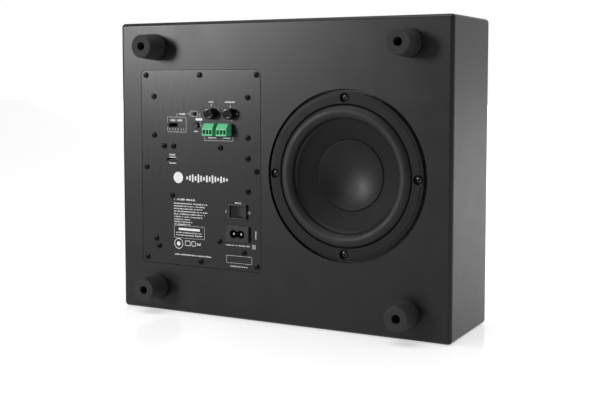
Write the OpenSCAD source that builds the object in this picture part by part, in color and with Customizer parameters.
// Slim active subwoofer: a sealed cabinet that carries its amplifier panel, its driver and
// four rubber feet on one face. It is drawn standing on its long edge. The front face looks
// along -Y, X runs to the right in the front view, and Z is up from the edge it stands on.

/* [Cabinet] */
// Width of the cabinet
cabinet_w = 368; // [366:1:372]
// Height of the cabinet as it stands
cabinet_h = 300; // [298:1:304]
// Depth of the cabinet without its feet
cabinet_d = 103; // [100:1:108]
// Thickness of the front board
baffle_t = 15; // [15:1:17]
// Thickness of the other boards
board_t = 12; // [10:1:13]
// Radius of the cabinet's outer edges
edge_r = 4; // [2:0.5:5]
// Thickness of the wool pad inside the back
pad_t = 10; // [6:1:10]

/* [Feet] */
// Length of a foot
foot_len = 25; // [22:1:28]
// Radius of a foot where it meets the cabinet
foot_base_r = 13.5; // [13:0.25:14]
// Radius of a foot at its free end
foot_end_r = 11.75; // [11.5:0.25:12.5]
// Radius of the screw well in a foot
foot_well_r = 4.25; // [4.1:0.05:4.5]
// Distance of the feet from the middle of the cabinet
foot_x = 140; // [138:1:142]
// Distance of the feet from the top and bottom edges
foot_z = 25; // [24:1:27]

/* [Amplifier panel] */
// Width of the panel
panel_w = 143.4; // [143:0.1:143.6]
// Height of the panel
panel_h = 201; // [200.6:0.1:201.4]
// Corner radius of the panel
panel_r = 5.5; // [4:0.5:7]
// Thickness of the panel
panel_t = 2; // [1.6:0.1:2]
// Depth that the amplifier's rear cover reaches behind the face
cover_depth = 62; // [58:1:66]

/* [Controls] */
// Radius of the two turning knobs
knob_r = 5.8; // [5.5:0.1:6]
// How far the knobs stand out of the panel
knob_out = 8; // [6:0.5:9]
// Radius of the round push button
button_r = 3.3; // [3.1:0.1:3.4]
// How far the push button stands out
button_out = 2; // [1.5:0.1:2.5]
// How far the lever of the mode switch stands out
lever_out = 3; // [2:0.2:3.4]
// How far the rims of the power switch and the mains inlet stand out
rim_out = 2.6; // [2.4:0.1:2.8]
// Angle that the power rocker leans at rest
rocker_lean = 12; // [10:1:12]

/* [Driver] */
// Radius of the recess that the driver sits in
recess_r = 82; // [81.5:0.1:82.5]
// Depth of that recess
recess_d = 4.5; // [4.5:0.1:5]
// Outer radius of the driver's frame
frame_r = 80.3; // [80:0.1:80.6]
// Radius of the driver's screw circle
screw_circle_r = 74.5; // [74.3:0.1:74.7]
// Middle radius of the rubber roll
roll_r = 61.25; // [61:0.05:61.5]
// Outer radius of the roll's cross-section
roll_size = 6.8; // [6.5:0.1:6.9]
// Radius of the dust cap
cap_r = 34; // [33.5:0.5:34]
// Outer radius of the voice coil's former
former_r = 16.5; // [16.4:0.05:16.55]

/* [Hidden] */

round_fn = 96;
front_y = foot_len - (cabinet_d + foot_len) / 2;
half_w = cabinet_w / 2;
inner_back = cabinet_d - board_t;

// Amplifier panel, as centres in the front view
panel_mid = [-86.3, 150.5];
cutout = [126.2, 183];
gasket_t = 1;
cover_wall = 1.2;
cover_size = cutout - [0.8, 0.8];
edge_screws = [
    [-152, 246], [-85.5, 246], [-19, 246], [-152, 150.5],
    [-19, 150.5], [-152, 55.3], [-85.5, 55.3], [-19, 55.3]
];
post_screws = [
    [-142, 224], [-29, 223.6], [-142, 184], [-29, 183.6], [-129.7, 173], [-118, 173], [-61, 173],
    [-29, 163], [-29, 130], [-120, 122], [-142, 77.5], [-137, 68], [-62.6, 77.7], [-33.7, 68]
];
screw_head_r = 2.9;
screw_head_h = 1.6;
post_shank_r = 1.45;
edge_shank_r = 1.4;
post_back = 10;
pcb_t = 1.6;
pcb_back = post_back + pcb_t;

// Controls
level_at = [-70.8, 207.3];
crossover_at = [-48.6, 207.3];
spindle_r = 3;
mode_slot = [-124.2, -112.8, 192.7, 197];
input_slot = [-96.7, -89.6, 204.9, 208.2];
switch_front = 2.4;
switch_floor = 7;
button_at = [-89.9, 195.2];
port_at = [-119.9, 159.2];

// Sockets
plug_x = [-70.5, -54];
plug_z = [185.3, 197.6];
plug_w = 12.2;
plug_out = 10.2;
tongue_z = 190.9;
tongue_w = 11.2;
tongue_h = 7.8;
pin_pitch = 3.81;
rocker_at = [-40.4, 109.3];
rocker_pivot_d = 1.6;
rocker_half = 7.6;
rocker_h = 10.4;
rocker_pin_r = 1;
inlet_at = [-40.7, 86.8];
inlet_pin_r = 1.2;
inlet_pin_gap = 8.6;
inlet_floor = 9;

// Driver
driver_at = [77, 150];
flange_d = 2.8;
flange_back = 4;
sheet_t = 0.8;
lip_d = flange_d - sheet_t;
cone_rim_r = roll_r - roll_size + sheet_t;
plate_d = 39.5;
magnet_d = 45.5;
yoke_d = 60.5;
driver_back = 66.5;
pole_r = 15.4;
cap_dish = 8.5;
cap_rim_d = 12.4;
spider_d = 30.1;
spider_wave = 1.3;
travel_clear = 0.2;

// ---- helpers ----

// Front-view outline made solid from depth d0 to depth d1 behind the front face
module plate(d0, d1)
    translate([0, front_y + d1, 0]) rotate([90, 0, 0]) linear_extrude(d1 - d0) children();

// Round post or hole square to the front face
module post(at, r, d0, d1)
    translate([at.x, front_y + d0, at.y]) rotate([-90, 0, 0])
        cylinder(r = r, h = d1 - d0, $fn = round_fn);

// Block between two corners, given as x, depth and z pairs
module block(x, d, z)
    translate([x[0], front_y + d[0], z[0]]) cube([x[1] - x[0], d[1] - d[0], z[1] - z[0]]);

// Outline of [radius, depth] points turned about an axis square to the front face
module turned(at)
    translate([at.x, front_y, at.y]) rotate([-90, 0, 0]) rotate_extrude($fn = round_fn)
        children();

// Rectangle with round corners about its own centre
module rounded(size, r) {
    square([size.x - 2 * r, size.y], center = true);
    square([size.x, size.y - 2 * r], center = true);
    for (x = [-1, 1], y = [-1, 1])
        translate([x * (size.x / 2 - r), y * (size.y / 2 - r)]) circle(r, $fn = 48);
}

// Tube along a path that stays in one level plane
function tangent(path, i) =
    let (v = path[min(i + 1, len(path) - 1)] - path[max(i - 1, 0)]) v / norm(v);
module lead(path, r) {
    sides = 8;
    last = len(path) - 1;
    rings = [
        for (i = [0:last]) let (across = cross(tangent(path, i), [0, 0, 1]))
            for (k = [0:sides - 1])
                path[i] + r * (cos(360 * k / sides) * [0, 0, 1] + sin(360 * k / sides) * across)
    ];
    walls = [
        for (i = [0:last - 1], k = [0:sides - 1])
            let (a = i * sides + k, b = i * sides + (k + 1) % sides)
                for (face = [[a, a + sides, b + sides], [a, b + sides, b]]) face
    ];
    ends = [[for (k = [0:sides - 1]) k], [for (k = [sides - 1:-1:0]) last * sides + k]];
    polyhedron(rings, concat(ends, walls));
}

// Smooth curve through hand-chosen points
function through(p, steps = 4) = concat([
    for (i = [0:len(p) - 2], s = [0:steps - 1]) let (
        t = s / steps,
        a = p[max(i - 1, 0)], b = p[i], c = p[i + 1], d = p[min(i + 2, len(p) - 1)])
        0.5 * (2 * b + (c - a) * t + (2 * a - 5 * b + 4 * c - d) * t * t
            + (3 * b - a - 3 * c + d) * t * t * t)
], [p[len(p) - 1]]);

// Pan-head screw with a cross recess: seat is the depth that its head sits on
module pan_screw(at, head_r, head_h, shank_r, seat, length)
    difference() {
        turned(at) polygon([
            [0, seat - head_h], [head_r * 0.55, seat - head_h], [head_r, seat - head_h * 0.45],
            [head_r, seat], [shank_r, seat], [shank_r, seat + length - shank_r],
            [0, seat + length]
        ]);
        for (turn = [0, 90])
            translate([at.x, front_y + seat - head_h, at.y]) rotate([0, turn + 20, 0])
                cube([head_r * 1.15, head_h * 1.1, head_r * 0.24], center = true);
    }

// ---- cabinet ----

// The cabinet's outside with every long edge rounded
module outer_block() {
    size = [cabinet_w, cabinet_h];
    intersection() {
        translate([0, 0, cabinet_h / 2]) plate(0, cabinet_d) rounded(size, edge_r);
        translate([0, front_y + cabinet_d / 2, 0])
            linear_extrude(cabinet_h) rounded([cabinet_w, cabinet_d], edge_r);
        translate([-half_w, front_y + cabinet_d / 2, cabinet_h / 2]) rotate([0, 90, 0])
            linear_extrude(cabinet_w) rounded([cabinet_h, cabinet_d], edge_r);
    }
}

// One board, cut out of that outside
module board(x, d, z)
    intersection() {
        outer_block();
        block(x, d, z);
    }

module baffle_board()
    color([0.13, 0.13, 0.135]) difference() {
        board([-half_w, half_w], [0, baffle_t], [0, cabinet_h]);
        post(driver_at, recess_r, -1, recess_d);
        post(driver_at, 70.5, -1, baffle_t + 1);
        for (turn = [0:90:270])
            post(driver_at + screw_circle_r * [cos(turn), sin(turn)], 1.8, 1, 14);
        translate([panel_mid.x, 0, panel_mid.y]) {
            plate(-1, panel_t + gasket_t) rounded([panel_w + 0.6, panel_h + 0.6], panel_r);
            plate(-1, baffle_t + 1) rounded(cutout, 3);
        }
        for (at = edge_screws)
            post(at, edge_shank_r + 0.15, 1, 13.5);
        for (x = [-foot_x, foot_x], z = [foot_z, cabinet_h - foot_z])
            post([x, z], 2.2, -1, 13);
    }

module top_board()
    color([0.13, 0.13, 0.135])
        board([board_t - half_w, half_w - board_t], [baffle_t, inner_back],
            [cabinet_h - board_t, cabinet_h]);

module bottom_board()
    color([0.13, 0.13, 0.135])
        board([board_t - half_w, half_w - board_t], [baffle_t, inner_back], [0, board_t]);

module left_board()
    color([0.13, 0.13, 0.135])
        board([-half_w, board_t - half_w], [baffle_t, inner_back], [0, cabinet_h]);

module right_board()
    color([0.13, 0.13, 0.135])
        board([half_w - board_t, half_w], [baffle_t, inner_back], [0, cabinet_h]);

module back_board()
    color([0.13, 0.13, 0.135])
        board([-half_w, half_w], [inner_back, cabinet_d], [0, cabinet_h]);

module damping_pad()
    color([0.75, 0.74, 0.70]) translate([85, 0, cabinet_h / 2])
        plate(inner_back - pad_t, inner_back) rounded([160, cabinet_h - 40], 6);

// ---- feet ----

module foot(x, z)
    color([0.07, 0.07, 0.07]) turned([x, z]) polygon([
        [2.4, 0], [foot_base_r - 0.6, 0], [foot_base_r, -0.6], [foot_end_r, 0.9 - foot_len],
        [foot_end_r - 0.9, -foot_len], [foot_well_r + 0.4, -foot_len],
        [foot_well_r, 0.4 - foot_len], [foot_well_r, -6], [2.4, -6]
    ]);

module foot_top_left() foot(-foot_x, cabinet_h - foot_z);
module foot_top_right() foot(foot_x, cabinet_h - foot_z);
module foot_bottom_left() foot(-foot_x, foot_z);
module foot_bottom_right() foot(foot_x, foot_z);

module foot_screws()
    color([0.25, 0.25, 0.26])
        for (x = [-foot_x, foot_x], z = [foot_z, cabinet_h - foot_z])
            pan_screw([x, z], 3.8, 2.6, 2.1, -6, 18);

// ---- amplifier ----

module amp_panel()
    color([0.16, 0.16, 0.165]) difference() {
        translate([panel_mid.x, 0, panel_mid.y])
            plate(0, panel_t) rounded([panel_w, panel_h], panel_r);
        for (at = concat(edge_screws, post_screws))
            post(at, 1.7, -1, panel_t + 1);
        for (at = [level_at, crossover_at])
            post(at, spindle_r + 0.5, -1, panel_t + 1);
        for (slot = [mode_slot, input_slot])
            block([slot[0], slot[1]], [-1, panel_t + 1], [slot[2], slot[3]]);
        post(button_at, button_r + 0.2, -1, panel_t + 1);
        translate([port_at.x, 0, port_at.y]) plate(-1, panel_t + 1) rounded([14, 4.8], 0.8);
        for (x = plug_x)
            translate([x, 0, tongue_z])
                plate(-1, panel_t + 1) square([tongue_w + 0.8, tongue_h + 0.8], center = true);
        translate([rocker_at.x, 0, rocker_at.y])
            plate(-1, panel_t + 1) square([19.4, 13.4], center = true);
        translate([inlet_at.x, 0, inlet_at.y])
            plate(-1, panel_t + 1) rounded([21.4, 13], 3);
    }

// Foam seals under the panel's rim and under the driver's rim
module gaskets()
    color([0.05, 0.05, 0.05]) {
        difference() {
            translate([panel_mid.x, 0, panel_mid.y]) plate(panel_t, panel_t + gasket_t)
                difference() {
                    rounded([panel_w - 0.4, panel_h - 0.4], panel_r);
                    rounded(cutout, 3);
                }
            for (at = edge_screws)
                post(at, 1.8, 0, 5);
        }
        difference() {
            turned(driver_at) translate([71, flange_back])
                square([frame_r - 71.3, recess_d - flange_back]);
            for (turn = [0:90:270])
                post(driver_at + screw_circle_r * [cos(turn), sin(turn)], 2.2, 3, 6);
        }
    }

module panel_screws()
    color([0.1, 0.1, 0.1])
        for (at = edge_screws)
            pan_screw(at, screw_head_r, screw_head_h, edge_shank_r, 0, 13);

module module_screws()
    color([0.1, 0.1, 0.1])
        for (at = post_screws)
            pan_screw(at, screw_head_r, screw_head_h, post_shank_r, 0, 8);

module board_posts()
    color([0.8, 0.72, 0.45])
        for (at = post_screws)
            difference() {
                post(at, 3, panel_t, post_back);
                post(at, post_shank_r + 0.1, panel_t - 1, post_back + 1);
            }

// Sealed tray behind the panel, with a hole for the driver's lead
module amp_cover()
    color([0.2, 0.2, 0.21]) difference() {
        translate([panel_mid.x, 0, panel_mid.y])
            plate(panel_t, cover_depth) rounded(cover_size, 2.6);
        translate([panel_mid.x, 0, panel_mid.y]) plate(panel_t - 1, cover_depth - cover_wall)
            rounded(cover_size - [2, 2] * cover_wall, 1.6);
        translate([panel_mid.x + cover_size.x / 2 - 4, front_y + 40, 150]) rotate([0, 90, 0])
            cylinder(r = 2.2, h = 8, $fn = round_fn);
    }

module control_board()
    color([0.05, 0.3, 0.16])
        block([-146, -25.4], [post_back, pcb_back], [180, 229]);

module amp_board()
    color([0.05, 0.3, 0.16]) {
        block([-146, -25.4], [post_back, pcb_back], [128, 178]);
        block([-112, -92], [pcb_back, pcb_back + 3], [140, 160]);
        for (x = [-76, -58])
            post([x, 150], 6, pcb_back, pcb_back + 12);
    }

module power_board()
    color([0.05, 0.3, 0.16]) {
        block([-146, -60], [post_back, pcb_back], [62, 126]);
        block([-60, -25.4], [post_back, pcb_back], [62, 74]);
    }

module transformer()
    color([0.7, 0.6, 0.2]) {
        block([-118, -86], [pcb_back, pcb_back + 25], [76, 92]);
        block([-113, -91], [pcb_back, pcb_back + 23], [70, 98]);
    }

module capacitors()
    color([0.1, 0.1, 0.2])
        for (at = [[-72, 114], [-72, 94], [-134, 82]])
            post(at, 8, pcb_back, pcb_back + 30);

// ---- controls ----

module pot(at)
    color([0.55, 0.55, 0.56]) difference() {
        block([at.x - 5.2, at.x + 5.2], [3.5, post_back], [at.y - 6.5, at.y + 5]);
        post(at, spindle_r + 0.06, 3, 9.3);
    }

module level_pot() pot(level_at);
module crossover_pot() pot(crossover_at);

// Knob and spindle in one piece, with a pointer groove up its face
module knob(at)
    color([0.03, 0.03, 0.03]) difference() {
        turned(at) polygon([
            [0, -knob_out], [knob_r - 0.9, -knob_out], [knob_r - 0.2, 0.7 - knob_out],
            [knob_r, -0.5], [spindle_r, -0.5], [spindle_r, 9], [0, 9]
        ]);
        block([at.x - 0.35, at.x + 0.35], [-knob_out - 1, 0.5 - knob_out],
            [at.y + 1.2, at.y + knob_r + 1]);
    }

module level_knob() knob(level_at);
module crossover_knob() knob(crossover_at);

// Body of a slide switch behind its slot, open at the front
module slide_body(slot, margin)
    color([0.1, 0.1, 0.1]) difference() {
        block([slot[0] - margin, slot[1] + margin], [switch_front, post_back],
            [slot[2] - 2.2, slot[3] + 2.2]);
        block([slot[0], slot[1]], [switch_front - 1, switch_floor], [slot[2], slot[3]]);
    }

module mode_switch() slide_body(mode_slot, 2);
module input_switch() slide_body(input_slot, 2.6);

// Narrow lever that stands in the left end of its slot
module mode_slider()
    color([0.08, 0.08, 0.08])
        block([mode_slot[0] + 0.75, mode_slot[0] + 2.85], [-lever_out, switch_floor - 0.5],
            [mode_slot[2] + travel_clear, mode_slot[3] - travel_clear]);

// Low block that fills the left half of its slot
module input_slider()
    color([0.2, 0.2, 0.2])
        block([input_slot[0] + travel_clear, input_slot[0] + 3.4], [-0.4, switch_floor - 0.5],
            [input_slot[2] + travel_clear, input_slot[3] - travel_clear]);

module pair_switch()
    color([0.5, 0.5, 0.5]) difference() {
        block([button_at.x - 3.5, button_at.x + 3.5], [4.6, post_back],
            [button_at.y - 3.5, button_at.y + 3.5]);
        post(button_at, 1.56, 4, 9.2);
    }

module pair_button()
    color([0.05, 0.05, 0.05]) turned(button_at) polygon([
        [0, -button_out], [button_r - 0.4, -button_out], [button_r, 0.4 - button_out],
        [button_r, 1.6], [1.5, 1.6], [1.5, 7.6], [0, 7.6]
    ]);

// Flat metal socket with a contact tongue inside
module service_port()
    color([0.6, 0.6, 0.62]) translate([port_at.x, 0, port_at.y]) {
        difference() {
            plate(0.4, post_back) rounded([13.6, 4.4], 0.6);
            plate(-1, 9) rounded([12.9, 3.7], 0.4);
        }
        plate(1.4, 9.5) translate([0, -0.75]) square([11, 0.9], center = true);
    }

// ---- sockets ----

module header(x)
    color([0.1, 0.4, 0.22]) translate([x, 0, tongue_z]) {
        difference() {
            plate(panel_t, post_back) square([14.6, 10.4], center = true);
            plate(panel_t - 1, 8.6)
                square([tongue_w + 0.5, tongue_h + 0.5], center = true);
        }
        for (i = [-1:1])
            post([i * pin_pitch, 0], 0.5, 3.4, 9);
    }

module input_header() header(plug_x[0]);
module output_header() header(plug_x[1]);

// Three-way plug: a sloped face over three wire mouths, a lip below and a tongue behind
module plug(x)
    color([0.2, 0.62, 0.4]) difference() {
        union() {
            translate([x - plug_w / 2, front_y, 0]) rotate([90, 0, 90]) linear_extrude(plug_w)
                polygon([
                    [-0.2, plug_z[0]], [-plug_out - 0.4, plug_z[0]],
                    [-plug_out - 0.4, plug_z[0] + 1.1], [-plug_out, plug_z[0] + 1.1],
                    [-plug_out, plug_z[1] - 5], [3.8 - plug_out, plug_z[1]],
                    [-0.2, plug_z[1]]
                ]);
            translate([x, 0, tongue_z]) plate(-1, 6.6) square([tongue_w, tongue_h], center = true);
        }
        for (i = [-1:1]) {
            mouth_x = x + i * pin_pitch;
            block([mouth_x - 1.35, mouth_x + 1.35], [-plug_out - 1, -3],
                [plug_z[0] + 1.7, plug_z[0] + 5.9]);
            post([mouth_x, tongue_z], 0.7, 2.6, 8);
            translate([mouth_x, front_y - 3.2, plug_z[1] - 3])
                cylinder(r = 1.6, h = 4, $fn = round_fn);
        }
    }

module input_plug() plug(plug_x[0]);
module output_plug() plug(plug_x[1]);

// Slotted screws in the top of a plug that clamp its wires
module clamps(x)
    color([0.75, 0.75, 0.76])
        for (i = [-1:1])
            translate([x + i * pin_pitch, front_y - 3.2, plug_z[1] - 3]) difference() {
                cylinder(r = 1.5, h = 2.6, $fn = round_fn);
                translate([-2, -0.25, 1.9]) cube([4, 0.5, 1]);
            }

module input_clamps() clamps(plug_x[0]);
module output_clamps() clamps(plug_x[1]);

// Frame of the power switch, with bearing holes for the rocker's pins
module rocker_housing()
    color([0.1, 0.1, 0.1]) translate([rocker_at.x, 0, rocker_at.y]) difference() {
        union() {
            plate(-rim_out, 0) rounded([21, 15], 1);
            plate(-0.5, 20) square([18.9, 13], center = true);
            for (x = [-5, 5])
                block([x - 0.4, x + 0.4], [19, 27], [-2.4, 2.4]);
        }
        plate(-rim_out - 1, 8) square([17.2, 10.8], center = true);
        translate([0, front_y + rocker_pivot_d, -8])
            cylinder(r = rocker_pin_r + 0.05, h = 16, $fn = round_fn);
    }

// Rocker with a shallow V face, on two pins, leaning to its resting side
module power_rocker()
    color([0.06, 0.06, 0.06])
        translate([rocker_at.x, front_y + rocker_pivot_d, rocker_at.y])
            rotate([0, 0, rocker_lean]) {
                translate([0, 0, -rocker_h / 2]) linear_extrude(rocker_h) polygon([
                    [-rocker_half, -3.5], [0, -2], [rocker_half, -3.5], [rocker_half - 0.3, 0.5],
                    [4, 3], [-4, 3], [0.3 - rocker_half, 0.5]
                ]);
                for (side = [-1, 1])
                    translate([0, 0, side * (rocker_h / 2 + 0.4) - 0.5])
                        cylinder(r = rocker_pin_r, h = 1, $fn = round_fn);
            }

// Two-pin mains inlet with a figure-eight recess
module inlet_body()
    color([0.1, 0.1, 0.1]) translate([inlet_at.x, 0, inlet_at.y]) difference() {
        union() {
            plate(-rim_out, 0) rounded([27, 16], 1.2);
            plate(-0.5, 14) rounded([20.8, 12.4], 3);
        }
        for (side = [-1, 1]) {
            post([side * inlet_pin_gap / 2, 0], 4.1, -rim_out - 1, inlet_floor);
            post([side * inlet_pin_gap / 2, 0], 1.05, inlet_floor - 1, 15);
        }
        plate(-rim_out - 1, inlet_floor) square([inlet_pin_gap, 5.4], center = true);
    }

module inlet_pins()
    color([0.8, 0.8, 0.8])
        for (side = [-1, 1])
            turned(inlet_at + [side * inlet_pin_gap / 2, 0]) polygon([
                [0, -1.4], [0.7, -1.4], [inlet_pin_r, -0.9], [inlet_pin_r, inlet_floor],
                [1, inlet_floor], [1, 20], [0, 20]
            ]);

// ---- driver ----

// Pressed frame: rim, open cone-shaped wall, spider shelf and seat for the magnet
module basket()
    color([0.12, 0.12, 0.12]) difference() {
        turned(driver_at) polygon([
            [68.6, flange_d], [frame_r, flange_d], [frame_r, flange_back], [70, flange_back],
            [50.4, 30], [50.4, 32.2], [45.4, 38], [45.4, plate_d], [20.5, plate_d], [20.5, 38],
            [43.8, 38], [48.2, 32.2], [40.5, 32.2], [40.5, 31], [48.2, 31], [68.6, 4]
        ]);
        for (turn = [0:60:300])
            translate([driver_at.x, front_y, driver_at.y]) rotate([0, turn, 0])
                translate([44, 9, -15]) cube([34, 19, 30]);
        for (turn = [0:90:270])
            post(driver_at + screw_circle_r * [cos(turn), sin(turn)], 2, 2, 6);
    }

// Bevelled ring that covers the frame's rim, with a round notch over each screw
module trim_ring()
    color([0.09, 0.09, 0.09]) difference() {
        turned(driver_at) polygon([
            [68.3, -0.9], [69, -1.5], [76.5, -1.5], [76.5, -1.2], [79.5, -0.8], [80, -0.3],
            [80, flange_d],
            [70.8, flange_d], [70.8, lip_d - 0.2], [68.3, lip_d - 0.2]
        ]);
        for (turn = [0:90:270])
            post(driver_at + screw_circle_r * [cos(turn), sin(turn)], 4.8, -3, 4);
    }

module driver_screws()
    color([0.15, 0.15, 0.15])
        for (turn = [0:90:270])
            pan_screw(driver_at + screw_circle_r * [cos(turn), sin(turn)],
                3.5, 2.4, 1.65, flange_d, 11);

// Rubber half-roll with a glued lip on each side
module surround()
    color([0.08, 0.08, 0.08]) turned(driver_at) {
        intersection() {
            translate([roll_r, lip_d]) difference() {
                circle(roll_size, $fn = round_fn);
                circle(roll_size - sheet_t, $fn = round_fn);
            }
            translate([50, lip_d - 10]) square([25, 10]);
        }
        translate([roll_r + roll_size - sheet_t, lip_d]) square([3.3, sheet_t]);
        polygon([
            [roll_r - roll_size, lip_d], [cone_rim_r, lip_d], [cone_rim_r, flange_d],
            [52.4, 4.25], [52.4, 3.9]
        ]);
    }

// Paper cone that flares slightly towards its rim
module cone() {
    front = [
        [cone_rim_r, flange_d], [52.4, 4.25], [45, 8], [cap_r + 0.6, 13.27], [25, 19.63],
        [former_r + 0.1, 25.2]
    ];
    back = [for (i = [len(front) - 1:-1:0]) front[i] + [0, 1]];
    color([0.1, 0.1, 0.1]) turned(driver_at) polygon(concat(front, back));
}

// Dished cap: a shallow spherical bowl
module dust_cap() {
    bowl_r = ((cap_r - 1) * (cap_r - 1) + cap_dish * cap_dish) / (2 * cap_dish);
    bowl_turn = asin((cap_r - 1) / bowl_r);
    centre_d = cap_rim_d + cap_dish - bowl_r;
    front = [
        for (i = [0:12]) bowl_r * [sin(bowl_turn * i / 12), cos(bowl_turn * i / 12)]
            + [0, centre_d]
    ];
    back = [for (i = [12:-1:0]) front[i] + [0, 0.7]];
    color([0.07, 0.07, 0.07]) turned(driver_at)
        polygon(concat(front, [[cap_r + 0.6, 12.8], [cap_r + 0.6, 13.2]], back));
}

module coil_former()
    color([0.75, 0.6, 0.35]) turned(driver_at)
        translate([former_r - 0.4, 23]) square([0.4, 30]);

module voice_coil()
    color([0.75, 0.4, 0.2]) turned(driver_at)
        translate([former_r + 0.05, 38.5]) square([0.85, 11.5]);

// Rippled cloth disc that centres the coil
module spider() {
    ripple_r = [19, 42];
    steps = 32;
    ripple = [
        for (i = [0:steps]) [
            ripple_r[0] + (ripple_r[1] - ripple_r[0]) * i / steps,
            spider_d + spider_wave * sin(360 * 4 * i / steps)
        ]
    ];
    outline = concat([[former_r + travel_clear, spider_d]], ripple, [[44.5, 30.4]]);
    back = [for (i = [len(outline) - 1:-1:0]) outline[i] + [0, 0.6]];
    color([0.7, 0.5, 0.25]) turned(driver_at) polygon(concat(outline, back));
}

module top_plate()
    color([0.6, 0.6, 0.62]) turned(driver_at)
        translate([18.2, plate_d]) square([23.8, magnet_d - plate_d]);

module magnet()
    color([0.2, 0.2, 0.21]) turned(driver_at)
        translate([23, magnet_d]) square([22, yoke_d - magnet_d]);

// Back plate and centre pole in one piece, with a vent down its middle
module yoke()
    color([0.6, 0.6, 0.62]) turned(driver_at) polygon([
        [4, plate_d - 0.5], [pole_r, plate_d - 0.5], [pole_r, yoke_d], [42, yoke_d],
        [42, driver_back - 1], [41, driver_back], [4, driver_back]
    ]);

// Small board with two solder tags, set in one of the frame's windows
module terminal_strip()
    color([0.6, 0.45, 0.25]) {
        block([driver_at.x - 62, driver_at.x - 49.5], [26.4, 28], [141.5, 158.5]);
        for (z = [146, 154])
            block([driver_at.x - 66, driver_at.x - 60], [26, 26.6], [z - 1.5, z + 1.5]);
    }

// Two braided leads from the cone to the strip, each in an easy loop
module tinsel_leads()
    color([0.75, 0.55, 0.35])
        for (z = [145.5, 154.5])
            lead(through([
                for (p = [[31, 18.4], [34, 21.6], [39, 24.4], [45, 23.6], [51, 24.2], [55, 25.6]])
                    [driver_at.x - p[0], front_y + p[1], z]
            ]), 0.7);

// Twin lead from the amplifier, through the cover, to the driver's strip
module speaker_lead()
    color([0.12, 0.12, 0.12]) lead(through([
        for (p = [[-40, 12], [-40, 24], [-35, 36], [-23.5, 40], [-8, 40.5], [5, 38], [12.5, 33],
            [14.5, 29.8]])
            [p[0], front_y + p[1], 150]
    ]), 1.6);

baffle_board();
top_board();
bottom_board();
left_board();
right_board();
back_board();
damping_pad();
foot_top_left();
foot_top_right();
foot_bottom_left();
foot_bottom_right();
foot_screws();
amp_panel();
gaskets();
panel_screws();
module_screws();
board_posts();
amp_cover();
control_board();
amp_board();
power_board();
transformer();
capacitors();
level_pot();
crossover_pot();
level_knob();
crossover_knob();
mode_switch();
mode_slider();
input_switch();
input_slider();
pair_switch();
pair_button();
service_port();
input_header();
output_header();
input_plug();
output_plug();
input_clamps();
output_clamps();
rocker_housing();
power_rocker();
inlet_body();
inlet_pins();
basket();
trim_ring();
driver_screws();
surround();
cone();
dust_cap();
coil_former();
voice_coil();
spider();
top_plate();
magnet();
yoke();
terminal_strip();
tinsel_leads();
speaker_lead();
